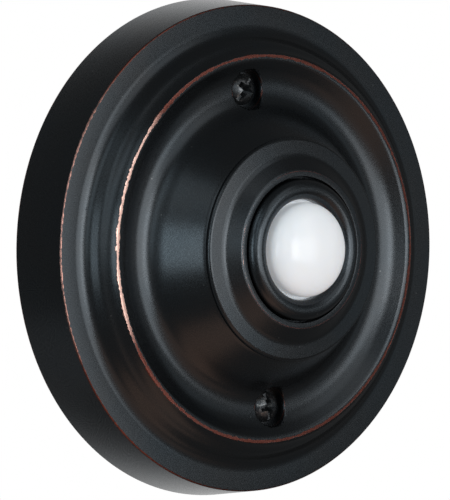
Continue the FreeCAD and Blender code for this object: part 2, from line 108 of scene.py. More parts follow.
# Collar and the thread on its neck
bead_radius = 1.7 * MM
seat_depth = 1.7 * MM
seat_clearance = 0.3 * MM
ledge_drop = 0.85 * MM
guide_clearance = 0.15 * MM
neck_wall = 1.0 * MM
neck_chamfer = 0.3 * MM
neck_thread_pitch = 1.0 * MM
neck_thread_depth = 0.5 * MM
neck_thread_share = 0.9
thread_length = 7.0 * MM
nut_flats = 25.0 * MM
nut_turn = 0.0
nut_chamfer_slope = 30.0
nut_fold = 28.0
thread_rows = 12
thread_steps = 192

# Button
button_skirt = 2.0 * MM
button_dome = 4.1 * MM
button_wall = 1.3 * MM
button_flange_width = 1.15 * MM
button_bore_lead = 1.0 * MM

# Fixing screws
screw_head_radius = 2.55 * MM
screw_head_side = 0.55 * MM
screw_head_height = 1.85 * MM
screw_head_round = 0.12 * MM
screw_shank_radius = 1.15 * MM
screw_core_radius = 0.95 * MM
screw_thread_depth = 0.45 * MM
screw_thread_pitch = 1.15 * MM
screw_thread_share = 0.5
screw_point = 4.0 * MM
screw_point_radius = 0.02 * MM
screw_shank_taper = 0.3 * MM
cross_span = 4.0 * MM
cross_width = 1.2 * MM
cross_depth = 1.7 * MM
cross_point_span = 0.9 * MM
cross_point_width = 0.4 * MM
head_slot_width = 0.7 * MM
head_slot_depth = 0.9 * MM
head_slot_share = 2.2
cutter_over = 0.05 * MM
upper_screw_turn = 47.0
lower_screw_turn = 98.0

# Small slotted screws of the switch
terminal_head_height = 1.3 * MM
terminal_shank_radius = 1.4 * MM
housing_head_height = 1.1 * MM
housing_shank_radius = 0.9 * MM
small_head_round = 0.25 * MM
small_head_edge = 0.08 * MM
small_thread_pitch = 0.5 * MM
small_thread_depth = 0.25 * MM
small_thread_share = 0.9
small_thread_rows = 8
small_tip_chamfer = 0.2 * MM
slot_width = 0.7 * MM
slot_depth = 0.6 * MM
terminal_screw_turn = 25.0
housing_screw_turn = 70.0

# Lugs of the switch housing, which snap into the collar's neck
lug_width = 3.4 * MM
lug_height = 1.4 * MM
lug_margin = 1.2 * MM

# Lamp behind the button, and its resistor
# The button's glow stands for the lamp behind it and is also painted fill light that evens out the
# button's shading
lamp_glow_and_painted_fill = 0.2
resistor_body_length = 3.0 * MM

# Return spring
spring_wire = 0.5 * MM
spring_pitch = 1.9 * MM
spring_steps = 40

# Camera: how far from the lip's centre it stands, and how the face is turned to it
camera_distance = 1000 * MM
camera_lens = 438.1
face_turn = 40.43
face_roll = -1.67
screw_line_turn = 96.35
picture_offset = (4.13 * MM, 0.30 * MM)

# World: how bright it is where nothing white is seen, which way its mirrored white lies from the
# camera, in degrees, and how near to that way a reflection has to look (cosines)
room_dimness = 0.11
mirrored_white_azimuth = -155
mirrored_white_from = 0.60
mirrored_white_full = 0.82

spin_steps = 256
arc_step = 5.0
crease_angle = 32.0


def slope_normal(slope):
    """Outward normal, in the radius-height plane, of a surface that rises inward at this slope."""
    return math.sin(math.radians(slope)), math.cos(math.radians(slope))


class Outline:
    """Corners and bends in the radius-height plane."""

    def __init__(self, radius, height):
        self.points = [(radius, height)]

    def line(self, radius, height):
        at = self.points[-1]
        if math.hypot(radius - at[0], height - at[1]) > 1e-8:
            self.points.append((radius, height))

    def rows(self, radius, height, step):
        """Straight line with a point at every step, for a surface that is worked on later."""
        at = Vector(self.points[-1])
        run = Vector((radius, height)) - at
        count = max(1, round(run.length / step))
        for i in range(count):
            self.line(*(at + run * ((i + 1) / count)))

    def oval(self, centre, radius, height, angle_from, angle_to, step=arc_step):
        steps = max(1, math.ceil(abs(angle_to - angle_from) / step))
        for i in range(steps + 1):
            angle = math.radians(angle_from + (angle_to - angle_from) * i / steps)
            self.line(centre[0] + radius * math.cos(angle), centre[1] + height * math.sin(angle))

    def turn(self, slope_from, slope_to, bend_radius):
        """Bend on which the inward slope goes from one angle to the other."""
        at = self.points[-1]
        hollow = slope_to > slope_from
        side = 1 if hollow else -1
        from_x, from_z = slope_normal(slope_from)
        centre = (at[0] + side * bend_radius * from_x, at[1] + side * bend_radius * from_z)
        base = 270 if hollow else 90
        self.oval(centre, bend_radius, bend_radius, base - slope_from, base - slope_to)

    def ogee(self, target, slope_from, slope_to, radius_from, radius_to, hollow_first=True):
        """Two opposite bends joined by a straight flank tangent to both, ending at the target."""
        at = self.points[-1]
        first = 1 if hollow_first else -1
        from_x, from_z = slope_normal(slope_from)
        to_x, to_z = slope_normal(slope_to)
        centre_0 = (at[0] + first * radius_from * from_x, at[1] + first * radius_from * from_z)
        centre_1 = (target[0] - first * radius_to * to_x, target[1] - first * radius_to * to_z)
        across = (centre_1[0] - centre_0[0], centre_1[1] - centre_0[1])
        lean = math.atan2(across[0], across[1])
        spread = math.acos(-first * (radius_from + radius_to) / math.hypot(*across))
        flank = math.degrees(lean + spread)
        flank_x, flank_z = slope_normal(flank)
        self.turn(slope_from, flank, radius_from)
        self.line(centre_1[0] + first * radius_to * flank_x, centre_1[1] + first * radius_to * flank_z)
        self.turn(flank, slope_to, radius_to)

    def rounded(self, radius, height, bend, after):
        """Line to a corner that is rounded towards the point after it."""
        at = Vector(self.points[-1])
        corner = Vector((radius, height))
        before_run = (at - corner).normalized()
        after_run = (Vector(after) - corner).normalized()
        half = before_run.angle(after_run) / 2
        reach = bend / math.tan(half)
        centre = corner + (before_run + after_run).normalized() * (bend / math.sin(half))
        start = corner + before_run * reach - centre
        sweep = start.angle_signed(corner + after_run * reach - centre)
        steps = max(2, math.ceil(abs(math.degrees(sweep)) / (3 * arc_step)))
        for i in range(steps + 1):
            spoke = start.copy()
            spoke.rotate(Matrix.Rotation(-sweep * i / steps, 2))
            self.line(*(centre + spoke))


def spun(bm, outline, steps=spin_steps, material=0, closed=False):
    """Spin an outline about the Y axis into the bmesh."""
    corners = [bm.verts.new((radius, -height, 0)) for radius, height in outline.points]
    pairs = list(zip(corners, corners[1:] + corners[:1] if closed else corners[1:]))
    edges = [bm.edges.new(pair) for pair in pairs]
    before = set(bm.faces)
    bmesh.ops.spin(bm, geom=corners + edges, cent=(0, 0, 0), axis=(0, 1, 0), dvec=(0, 0, 0),
                   angle=2 * math.pi, steps=steps, use_merge=True, use_duplicate=False)
    for face in bm.faces:
        if face not in before:
            face.material_index = material


def welded(bm, distance=0.2e-6):
    """Close seams and poles, then turn every face outwards."""
    bmesh.ops.remove_doubles(bm, verts=bm.verts, dist=distance)
    bmesh.ops.dissolve_degenerate(bm, edges=bm.edges, dist=distance)
    bmesh.ops.recalc_face_normals(bm, faces=bm.faces)
    return bm


def shaded(bm, crease=crease_angle):
    """Smooth faces, with a crease where two of them meet more sharply than this."""
    limit = math.radians(crease)
    for face in bm.faces:
        face.smooth = True
    for edge in bm.edges:
        edge.smooth = edge.is_manifold and edge.calc_face_angle() < limit


def as_object(name, bm):
    mesh = bpy.data.meshes.new(name)
    bm.to_mesh(mesh)
    bm.free()
    thing = bpy.data.objects.new(name, mesh)
    bpy.context.scene.collection.objects.link(thing)
    return thing


def cut(bm, tools, operation="DIFFERENCE"):
    """The bmesh after these closed shapes are cut from it or added to it."""
    blank = as_object("blank", bm)
    for tool in tools:
        shape = as_object("tool", tool)
        modifier = blank.modifiers.new("cut", "BOOLEAN")
        modifier.operation = operation
        modifier.solver = "EXACT"
        modifier.object = shape
        shaped = blank.evaluated_get(bpy.context.evaluated_depsgraph_get())
        mesh = bpy.data.meshes.new_from_object(shaped)
        blank.modifiers.clear()
        blank.data = mesh
        bpy.data.objects.remove(shape)
    result = bmesh.new()
    result.from_mesh(blank.data)
    bpy.data.objects.remove(blank)
    return result


def rod(radius, low, high, x=0.0, z=0.0, steps=64, material=0):
    """Closed cylinder along Y between two heights above the wall."""
    bm = bmesh.new()
    place = Matrix.Translation((x, -(low + high) / 2, z)) @ Matrix.Rotation(math.pi / 2, 4, "X")
    bmesh.ops.create_cone(bm, cap_ends=True, cap_tris=False, segments=steps, radius1=radius,
                          radius2=radius, depth=high - low, matrix=place)
    for face in bm.faces:
        face.material_index = material
    return bm


def threaded(bm, low, high, least_radius, depth, pitch, share, runout_low, runout_high):
    """Raise a helical ridge on the outer vertices of a spun shape between two heights."""
    for vert in bm.verts:
        height = -vert.co.y
        radius = math.hypot(vert.co.x, vert.co.z)
        if low < height < high and radius > least_radius:
            phase = (height / pitch + math.atan2(vert.co.z, vert.co.x) / (2 * math.pi)) % 1
            ridge = max(0.0, 1 - abs(phase - 0.5) * 2 / share)
            fade = min(1.0, (height - low) / runout_low, (high - height) / runout_high)
            grown = 1 + depth * fade * ridge / radius
            vert.co.x *= grown
            vert.co.z *= grown


def cross_head(crown, turn):
    """A slot over the head and two arms that taper to a point, as cutters for its recess."""
    top = crown + cutter_over
    slot_span = screw_head_radius * head_slot_share
    shapes = [(0, (slot_span, slot_span), (head_slot_width, head_slot_width), head_slot_depth)]
    shapes += [(angle, (cross_span, cross_point_span), (cross_width, cross_point_width), cross_depth)
               for angle in (0, 90)]
    cutters = []
    for angle, spans, widths, depth in shapes:
        cutter = bmesh.new()
        bmesh.ops.create_cube(cutter, size=1)
        for vert in cutter.verts:
            low = vert.co.z < 0
            vert.co.x *= spans[low]
            vert.co.y *= widths[low]
            vert.co.z = crown - depth if low else top
        turned = Matrix.Rotation(math.radians(angle + turn), 3, "Z")
        bmesh.ops.rotate(cutter, verts=cutter.verts, matrix=Matrix.Rotation(math.pi / 2, 3, "X") @ turned)
        cutters.append(cutter)
    return cutters


def box_between(low, high):
    """Closed block between two corners."""
    bm = bmesh.new()
    low, high = Vector(low), Vector(high)
    place = Matrix.Translation((low + high) / 2) @ Matrix.Diagonal((*(high - low), 1))
    bmesh.ops.create_cube(bm, size=1, matrix=place)
    return bm


def piece(name, bm, body, materials, replaces=(), crease=crease_angle):
    """Finish a bmesh as a piece that rides on a body and stands for these nodes."""
    shaded(bm, crease)
    thing = as_object(name, bm)
    for material in materials:
        thing.data.materials.append(material)
    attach(thing, body)
    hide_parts(*replaces)
    return thing


# Radii and heights that follow from the sizes above and from the frame
bezel_outer_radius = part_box("bezel_ring")[1].x
bead_crest_height = -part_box("bezel_ring")[0].y
neck_end = -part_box("bezel_ring")[1].y
bead_mid_radius = bezel_outer_radius - bead_radius
bead_centre_height = bead_crest_height - bead_radius
button_bore_radius = bead_mid_radius - bead_radius
ledge_height = bead_centre_height - ledge_drop
seat_radius = bezel_outer_radius + seat_clearance
button_flange_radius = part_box("button_cap")[1].x
neck_bore_radius = button_flange_radius + guide_clearance
neck_radius = neck_bore_radius + neck_wall
neck_root_radius = neck_radius - neck_thread_depth
web_bore_radius = neck_radius + bore_clearance
crown_height = -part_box("button_cap")[0].y
button_base = -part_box("button_cap")[1].y
skirt_top = crown_height - button_dome
flange_top = skirt_top - button_skirt

band_inner_radius = lip_radius - band_width
ogee_top_radius = band_inner_radius - ogee_width
ogee_top_height = lip_height + ogee_rise
crest_radius = ogee_top_radius - cove_width
cove_radius = cove_width / (slope_normal(cove_top_slope)[0] - slope_normal(ogee_top_slope)[0])
cove_rise = cove_radius * (slope_normal(ogee_top_slope)[1] - slope_normal(cove_top_slope)[1])
crest_height = ogee_top_height + cove_rise
crest_inner_radius = crest_radius - crest_land
valley_height = crest_height - valley_drop
foot_height = valley_height + dome_rise
hub_face_height = foot_height + hub_step + hub_round * slope_normal(hub_face_slope)[1]
hub_face_rise = hub_face_width * math.tan(math.radians(hub_face_slope))
rim_outer_radius = seat_radius + rim_width
shoulder_radius = rim_outer_radius + shoulder_width
hub_edge_radius = shoulder_radius + hub_face_width
hub_foot_radius = hub_edge_radius + hub_round * (1 - slope_normal(hub_face_slope)[0])
rim_height = hub_face_height + hub_face_rise + shoulder_rise
seat_height = rim_height - seat_depth
web_back_height = seat_height - web_thickness
recess_floor = valley_height - recess_depth


class Finish:
    """A material built from nodes, with short calls for the ones that repeat."""

    def __init__(self, name, **constants):
        self.material = bpy.data.materials.new(name)
        self.material.use_nodes = True
        self.tree = self.material.node_tree
        self.shader = self.tree.nodes["Principled BSDF"]
        for socket, value in constants.items():
            self.shader.inputs[socket.replace("_", " ")].default_value = value
        self.place = self.tree.nodes.new("ShaderNodeTexCoord").outputs["Object"]

    def node(self, kind, settings=None, **inputs):
        node = self.tree.nodes.new("ShaderNode" + kind)
        for name, value in (settings or {}).items():
            setattr(node, name, value)
        for name, value in inputs.items():
            self.feed(node.inputs[name.replace("_", " ")], value)
        return node

    def feed(self, socket, value):
        if isinstance(value, bpy.types.NodeSocket):
            self.tree.links.new(value, socket)
        else:
            socket.default_value = value

    def math(self, operation, first, second=0.0):
        node = self.node("Math", {"operation": operation})
        self.feed(node.inputs[0], first)
        self.feed(node.inputs[1], second)
        return node.outputs[0]

    def noise(self, size, detail=2.0, roughness=0.5, place=None):
        """Cloudy pattern whose patches are about this size."""
        node = self.node("TexNoise", Vector=place or self.place, Scale=1 / size, Detail=detail,
                         Roughness=roughness)
        return node.outputs["Fac"]

    def span(self, value, low, high, to_low=0.0, to_high=1.0):
        """The value, taken smoothly from one range to another."""
        node = self.node("MapRange", {"interpolation_type": "SMOOTHSTEP"}, Value=value)
        ends = (("From Min", low), ("From Max", high), ("To Min", to_low), ("To Max", to_high))
        for name, number in ends:
            self.feed(node.inputs[name], number)
        return node.outputs["Result"]

    def blend(self, factor, first, second):
        node = self.node("Mix", {"data_type": "RGBA"})
        self.feed(node.inputs[0], factor)
        self.feed(node.inputs[6], first)
        self.feed(node.inputs[7], second)
        return node.outputs[2]

    def bump(self, height, depth, normal=None):
        """Relief of this depth in metres."""
        node = self.node("Bump", Height=height, Distance=depth, Strength=1.0)
        if normal:
            self.feed(node.inputs["Normal"], normal)
        return node.outputs["Normal"]

    def radius_and_height(self):
        """Distance from the button's axis, and height above the wall."""
        parts = self.node("SeparateXYZ", Vector=self.place)
        flat = self.node("CombineXYZ", X=parts.outputs["X"], Z=parts.outputs["Z"])
        length = self.node("VectorMath", {"operation": "LENGTH"})
        self.feed(length.inputs[0], flat.outputs[0])
        return length.outputs["Value"], self.math("MULTIPLY", parts.outputs["Y"], -1.0)

    def from_line(self, centre):
        """Distance from a line that runs along Y at this height above the button's axis."""
        away = self.node("VectorMath", {"operation": "SUBTRACT"})
        self.feed(away.inputs[0], self.place)
        self.feed(away.inputs[1], (0, 0, centre))
        flat = self.node("VectorMath", {"operation": "MULTIPLY"})
        self.feed(flat.inputs[0], away.outputs[0])
        self.feed(flat.inputs[1], (1, 0, 1))
        length = self.node("VectorMath", {"operation": "LENGTH"})
        self.feed(length.inputs[0], flat.outputs[0])
        return length.outputs["Value"]

    def sideways(self, radius, direction):
        """How much a point lies to this side of the button's axis: 1 straight that way, -1 opposite."""
        dot = self.node("VectorMath", {"operation": "DOT_PRODUCT"})
        self.feed(dot.inputs[0], self.place)
        self.feed(dot.inputs[1], (direction[0], 0, direction[1]))
        return self.math("DIVIDE", dot.outputs["Value"], radius)

    def near_ring(self, radius, height, ring_radius, ring_height):
        """Distance from a ring on the cover."""
        across = self.math("POWER", self.math("SUBTRACT", radius, ring_radius), 2.0)
        along = self.math("POWER", self.math("SUBTRACT", height, ring_height), 2.0)
        return self.math("SQRT", self.math("ADD", across, along))

    def set(self, **sockets):
        for name, value in sockets.items():
            self.feed(self.shader.inputs[name.replace("_", " ")], value)
        return self.material


# Copper: its own dull colour, and a bright colour painted on as a highlight where light catches the worn
# edges
COPPER_DULL = (0.18, 0.060, 0.046, 1)
COPPER_PAINTED_HIGHLIGHT = (0.95, 0.62, 0.53, 1)
BROWN = (0.10, 0.045, 0.035, 1)
COAT = (0.044, 0.057, 0.067, 1)
COAT_WARM = (0.057, 0.057, 0.058, 1)
DUST = (0.24, 0.25, 0.25, 1)
# Where hands rub the cover most, and the side on which the copper is painted bright as a highlight, as X
# and Z of a direction from its axis
RUBBED_AND_HIGHLIT_SIDE = (-0.97, 0.24)


def rubbed_bronze(name, rings, bores=()):
    """Dark satin coat with a fine grain, worn through to copper along the given rings; the copper is
    painted bright as a highlight towards one side and up towards the crest.

    A ring is its radius, its height, how wide the wear is and how much of that is left where the
    wear is least. A bore is a centre above or below the axis, a radius and the height of its edge.
    """
    f = Finish(name, IOR=1.5)
    radius, height = f.radius_and_height()
    patches = f.noise(7 * MM, 3.0)
    breaks = f.noise(0.9 * MM, 4.0, 0.7)
    breaks = f.math("ADD", breaks, f.math("MULTIPLY", f.noise(0.3 * MM, 2.0, 0.6), 0.4))
    ragged = f.span(breaks, 0.45, 0.92, 0.4, 1.45)
    side = f.sideways(radius, RUBBED_AND_HIGHLIT_SIDE)
    handled = f.span(side, 0.2, 0.95, 0.9, 1.2)
    worn = f.math("MULTIPLY", radius, 0.0)
    for ring_radius, ring_height, width, least in rings:
        reach = f.math("MULTIPLY", f.span(patches, 0.36, 0.64, width * least, width), ragged)
        reach = f.math("MULTIPLY", reach, handled)
        distance = f.near_ring(radius, height, ring_radius, ring_height)
        worn = f.math("MAXIMUM", worn, f.span(f.math("DIVIDE", distance, reach), 0.72, 1.12, 1.0, 0.0))
    for centre, bore_radius, bore_height in bores:
        away = f.math("SUBTRACT", f.from_line(centre), bore_radius)
        distance = f.near_ring(f.math("ABSOLUTE", away), height, 0.0, bore_height)
        reach = f.math("MULTIPLY", ragged, 0.13 * MM)
        worn = f.math("MAXIMUM", worn, f.span(f.math("DIVIDE", distance, reach), 0.6, 1.2, 0.7, 0.0))
    specks = f.span(f.node("TexVoronoi", Vector=f.place, Scale=1 / (2.6 * MM)).outputs["Distance"],
                    0.03, 0.055, 1.0, 0.0)
    specks = f.math("MULTIPLY", specks, f.span(f.noise(3.1 * MM, 1.0), 0.5, 0.58))
    pits = f.span(f.node("TexVoronoi", Vector=f.place, Scale=1 / (3.7 * MM)).outputs["Distance"],
                  0.03, 0.07, 1.0, 0.0)
    pits = f.math("MULTIPLY", pits, f.span(f.noise(4.3 * MM, 1.0), 0.52, 0.6))
    tone = f.blend(f.noise(14 * MM, 3.0), COAT, COAT_WARM)
    tone = f.blend(f.math("MULTIPLY", specks, 0.6), tone, DUST)
    bare = f.span(worn, 0.35, 0.95)
    tone = f.blend(f.span(worn, 0.1, 0.5), tone, BROWN)
    # Painted highlight: the bare copper is lighter towards the highlit side and from the lip up to the
    # crest, dull elsewhere
    painted_highlight = f.math("MULTIPLY", f.span(side, 0.78, 0.92),
                    f.span(height, lip_height, crest_height, 0.25, 1.0))
    copper = f.blend(painted_highlight, COPPER_DULL, COPPER_PAINTED_HIGHLIGHT)
    tone = f.blend(bare, tone, copper)
    grain = f.noise(0.17 * MM, 2.0, 0.6)
    relief = f.bump(grain, 0.005 * MM)
    relief = f.bump(f.noise(1.6 * MM, 2.0), 0.007 * MM, relief)
    relief = f.bump(f.math("ADD", worn, pits), -0.012 * MM, relief)
    coat_gloss = f.span(grain, 0.3, 0.7, 0.25, 0.33)
    gloss = f.math("ADD", f.math("MULTIPLY", coat_gloss, f.math("SUBTRACT", 1.0, bare)),
                   f.math("MULTIPLY", bare, 0.3))
    return f.set(Base_Color=tone, Metallic=0.97, Roughness=gloss, Normal=relief)


def raw_casting(name):
    """Inside of the casting: thin dark overspray on grey metal, with a grainy skin."""
    f = Finish(name)
    cover = f.span(f.noise(6 * MM, 4.0, 0.6), 0.35, 0.62)
    tone = f.blend(cover, (0.085, 0.085, 0.083, 1), (0.05, 0.05, 0.05, 1))
    relief = f.bump(f.noise(0.5 * MM, 3.0, 0.6), 0.02 * MM)
    return f.set(Base_Color=tone, Metallic=0.6, Roughness=f.span(cover, 0, 1, 0.42, 0.62), Normal=relief)


def pearl(name):
    """Milky glossy plastic, a little cloudy inside, with a glow that stands for the lamp behind it and is
    partly painted fill light, evening out its shading.
    """
    f = Finish(name, Roughness=0.2, IOR=1.49, Subsurface_Weight=0.55, Subsurface_Scale=1.6 * MM,
               Subsurface_Radius=(1.0, 0.9, 0.8), Emission_Color=(0.9, 0.95, 1.0, 1),
               Emission_Strength=lamp_glow_and_painted_fill)
    tone = f.blend(f.noise(4 * MM, 3.0), (0.82, 0.85, 0.88, 1), (0.86, 0.88, 0.90, 1))
    return f.set(Base_Color=tone, Normal=f.bump(f.noise(2.5 * MM, 2.0), 0.004 * MM))


def blackened_steel(name):
    """Screw finish: gunmetal, half gloss, rubbed brighter where a driver has been."""
    f = Finish(name, Metallic=0.9)
    scuffs = f.span(f.noise(0.45 * MM, 4.0, 0.7), 0.52, 0.7)
    tone = f.blend(scuffs, (0.075, 0.082, 0.088, 1), (0.28, 0.28, 0.27, 1))
    return f.set(Base_Color=tone, Roughness=f.span(f.noise(0.8 * MM, 3.0), 0.3, 0.7, 0.26, 0.42),
                 Normal=f.bump(f.noise(0.3 * MM, 2.0), 0.012 * MM))


def turned_metal(name, painted_highlight, dull, gloss):
    """Plated or turned metal: fine tool lines round the axis, and tarnish in patches."""
    f = Finish(name, Metallic=1.0)
    radius, height = f.radius_and_height()
    rings = f.node("CombineXYZ", X=radius, Y=height)
    lines = f.noise(0.06 * MM, 1.0, place=rings.outputs[0])
    tarnish = f.span(f.noise(3 * MM, 4.0, 0.6), 0.45, 0.7)
    tone = f.blend(tarnish, painted_highlight, dull)
    return f.set(Base_Color=tone, Roughness=f.span(tarnish, 0, 1, gloss, gloss + 0.18),
                 Normal=f.bump(lines, 0.003 * MM))


def moulded_plastic(name, colour, gloss=0.45):
    """Plastic with a fine spark-eroded skin."""
    f = Finish(name, IOR=1.46)
    skin = f.noise(0.3 * MM, 3.0, 0.6)
    lighter = tuple(min(1.0, part * 1.25 + 0.004) for part in colour[:3]) + (1,)
    tone = f.blend(f.noise(5 * MM, 2.0), colour, lighter)
    return f.set(Base_Color=tone, Roughness=f.span(skin, 0.3, 0.7, gloss - 0.06, gloss + 0.08),
                 Normal=f.bump(skin, 0.01 * MM))


def banded_paint(name, low, length):
    """Painted resistor body with four colour bands along X."""
    f = Finish(name, Roughness=0.35)
    along = f.node("SeparateXYZ", Vector=f.place).outputs["X"]
    share = f.math("DIVIDE", f.math("SUBTRACT", along, low), length)
    tone = (0.62, 0.48, 0.30, 1)
    bands = ((0.16, (0.15, 0.05, 0.02, 1)), (0.3, (0.01, 0.01, 0.01, 1)),
             (0.44, (0.45, 0.02, 0.015, 1)), (0.62, (0.48, 0.32, 0.07, 1)))
    for place, colour in bands:
        near = f.math("ABSOLUTE", f.math("SUBTRACT", share, place))
        tone = f.blend(f.span(near, 0.028, 0.036, 1.0, 0.0), tone, colour)
    return f.set(Base_Color=tone)


def dome(outline, offset):
    """Flank of the dome up to the hub, moved inward by the given wall."""
    top_x, top_z = slope_normal(dome_top_slope)
    target = (hub_foot_radius - offset * top_x, foot_height - offset * top_z)
    outline.turn(0, dome_root_slope, dome_root_radius + offset)
    outline.ogee(target, dome_root_slope, dome_top_slope,
                 dome_flank_radius + offset, dome_top_radius - offset)


def cover_front():
    """Mouldings of the front, from the wall edge to the bore that takes the collar."""
    outline = Outline(cover_foot_radius, 0)
    outline.rounded(lip_radius, lip_height, lip_round, (band_inner_radius, lip_height))
    outline.line(band_inner_radius, lip_height)
    outline.ogee((ogee_top_radius, ogee_top_height), 0, ogee_top_slope, ogee_radius, ogee_radius)
    outline.turn(ogee_top_slope, cove_top_slope, cove_radius)
    outline.points.pop()
    outline.rounded(crest_radius, crest_height, crest_round, (crest_inner_radius, crest_height))
    outline.line(crest_inner_radius, crest_height)
    outline.ogee((screw_circle_radius, valley_height), crest_fall_slope, 0,
                 crest_fall_radius, valley_radius, hollow_first=False)
    dome(outline, 0)
    outline.line(hub_foot_radius, foot_height + hub_step)
    outline.turn(90, hub_face_slope, hub_round)
    outline.line(shoulder_radius, hub_face_height + hub_face_rise)
    outline.ogee((rim_outer_radius, rim_height), hub_face_slope, shoulder_top_slope,
                 shoulder_root_radius, shoulder_top_radius)
    outline.rounded(seat_radius, rim_height, rim_round, (seat_radius, seat_height))
    outline.line(seat_radius, seat_height)
    outline.line(web_bore_radius, seat_height)
    return outline


def cover_back():
    """Hollow back, one wall thick behind the mouldings, drawn from the foot to the bore."""
    outline = Outline(cover_foot_radius, 0)
    outline.line(lip_radius - cover_side_wall, 0)
    outline.line(lip_radius - cover_side_wall, lip_height - cover_wall)
    outline.line(band_inner_radius - cover_wall, lip_height - cover_wall)
    outline.line(crest_inner_radius, valley_height - cover_wall)
    outline.line(screw_circle_radius, valley_height - cover_wall)
    dome(outline, cover_wall)
    outline.line(web_land_radius, web_back_height)
    outline.line(web_bore_radius, web_back_height)
    outline.line(web_bore_radius, seat_height)
    return outline


def make_cover():
    bm = bmesh.new()
    spun(bm, cover_front())
    spun(bm, cover_back(), material=1)
    welded(bm)
    posts, bores = [], []
    for side in (1, -1):
        z = side * screw_circle_radius
        posts.append(rod(post_radius, 0, valley_height - cover_wall / 2, z=z, material=1))
        bores.append(rod(screw_hole_radius, -1 * MM, crest_height, z=z, material=1))
        bores.append(rod(recess_radius, recess_floor, foot_height, z=z, steps=96))
    bm = cut(cut(bm, posts, "UNION"), bores)
    rims = []
    for edge in bm.edges:
        middle = (edge.verts[0].co + edge.verts[1].co) / 2
        away = math.hypot(middle.x, abs(middle.z) - screw_circle_radius)
        on_wall = abs(away - recess_radius) < 0.05 * MM and -middle.y > recess_floor + 0.4 * MM
        if on_wall and edge.is_manifold and edge.calc_face_angle() > math.radians(recess_fold):
            rims.append(edge)
    bmesh.ops.bevel(bm, geom=rims, offset=recess_round, segments=3, affect="EDGES", profile=0.5,
                    material=-1, clamp_overlap=False)
    crest_middle = crest_radius - 0.28 * MM
    rings = [(lip_radius - 0.05 * MM, lip_height, 0.17 * MM, 0.75),
             (crest_middle, crest_height, 0.31 * MM, 0.5),
             (rim_outer_radius - 0.1 * MM, rim_height, 0.03 * MM, 0.02),
             (cover_foot_radius, 0, 0.07 * MM, 0.02)]
    edges = [(side * screw_circle_radius, recess_radius, valley_height) for side in (1, -1)]
    finishes = [rubbed_bronze("cover_bronze", rings, edges), raw_casting("cover_inside")]
    return piece("cover_casting", bm, "housing", finishes, ["cover_plate"])


def make_collar():
    """Half-round collar with a threaded neck and the two windows for the switch's lugs."""
    outline = Outline(bezel_outer_radius, seat_height)
    outline.oval((bead_mid_radius, bead_centre_height), bead_radius, bead_radius, 0, 180)
    outline.line(button_bore_radius, ledge_height)
    outline.line(neck_bore_radius, ledge_height)
    outline.line(neck_bore_radius, neck_end)
    outline.line(neck_root_radius, neck_end)
    outline.rows(neck_root_radius, neck_end + thread_length, neck_thread_pitch / thread_rows)
    outline.line(neck_radius, neck_end + thread_length + neck_thread_depth)
    outline.line(neck_radius, seat_height)
    bm = bmesh.new()
    spun(bm, outline, thread_steps, closed=True)
    welded(bm)
    threaded(bm, neck_end, neck_end + thread_length, neck_root_radius - 0.1 * MM, neck_thread_depth,
             neck_thread_pitch, neck_thread_share, neck_chamfer, neck_chamfer)
    bm = cut(bm, [box_between(*window) for window in lug_windows()])
    rings = [(button_bore_radius + 0.1 * MM, bead_centre_height + 0.6 * MM, 0.05 * MM, 0.02)]
    finish = rubbed_bronze("collar_bronze", rings)
    return piece("button_collar", bm, "housing", [finish], ["bezel_ring"])


def lug_windows():
    """Low and high corners of the openings in the neck that the housing's lugs snap into."""
    windows = []
    for side in (1, -1):
        reach = sorted((side * (neck_bore_radius - 0.5 * MM), side * (neck_radius + 0.5 * MM)))
        low = neck_end + lug_margin - guide_clearance
        high = neck_end + lug_margin + lug_height + guide_clearance
        half = lug_width / 2 + guide_clearance
        windows.append(((-half, -high, reach[0]), (half, -low, reach[1])))
    return windows


def make_nut():
    """Thin six-sided nut with turned-down corners and a thread that fits the neck's."""
    low, high = -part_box("retaining_nut")[1].y, -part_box("retaining_nut")[0].y
    corner_radius = nut_flats / 2 / math.cos(math.radians(30))
    bm = rod(corner_radius, low, high, steps=6)
    bmesh.ops.rotate(bm, verts=bm.verts, matrix=Matrix.Rotation(math.radians(nut_turn), 3, "Y"))
    chamfer = math.tan(math.radians(nut_chamfer_slope))
    rise = (corner_radius - nut_flats / 2) * chamfer
    spare = 1 * MM
    blank = Outline(0, low - 0.01 * MM)
    blank.line(nut_flats / 2, low - 0.01 * MM)
    blank.line(corner_radius + spare, low + rise + spare * chamfer)
    blank.line(corner_radius + spare, high + spare)
    blank.line(0, high + spare)
    turned_down = bmesh.new()
    spun(turned_down, blank, 128)
    welded(turned_down)
    bm = cut(bm, [turned_down], "INTERSECT")
    row = neck_thread_pitch / thread_rows
    start = neck_end + row * math.floor((low - neck_end) / row - 4)
    tap = Outline(0, start)
    tap.line(neck_root_radius + bore_clearance, start)
    tap.rows(neck_root_radius + bore_clearance, start + row * math.ceil((high - start) / row + 4), row)
    tap.line(0, tap.points[-1][1])
    thread = bmesh.new()
    spun(thread, tap, thread_steps)
    welded(thread)
    threaded(thread, 0, high + 5 * MM, neck_root_radius / 2, neck_thread_depth,
             neck_thread_pitch, neck_thread_share, row, row)
    bm = cut(bm, [thread])
    return piece("ring_nut", bm, "housing", [BRASS], ["retaining_nut"], nut_fold)


def make_button():
    outline = Outline(0, crown_height)
    radius = button_flange_radius - button_flange_width
    outline.oval((0, skirt_top), radius, button_dome, 90, 0, 2.5)
    outline.line(radius, flange_top)
    outline.line(button_flange_radius, flange_top)
    outline.line(button_flange_radius, button_base)
    bore, bore_top = radius - button_wall, skirt_top - button_bore_lead
    outline.line(bore, button_base)
    outline.line(bore, bore_top)
    outline.oval((0, bore_top), bore, button_dome - button_wall + button_bore_lead, 0, 90, 6)
    bm = bmesh.new()
    spun(bm, outline, 128)
    welded(bm)
    return piece("pearl_button", bm, "button", [pearl("pearl_plastic")], ["button_cap"])


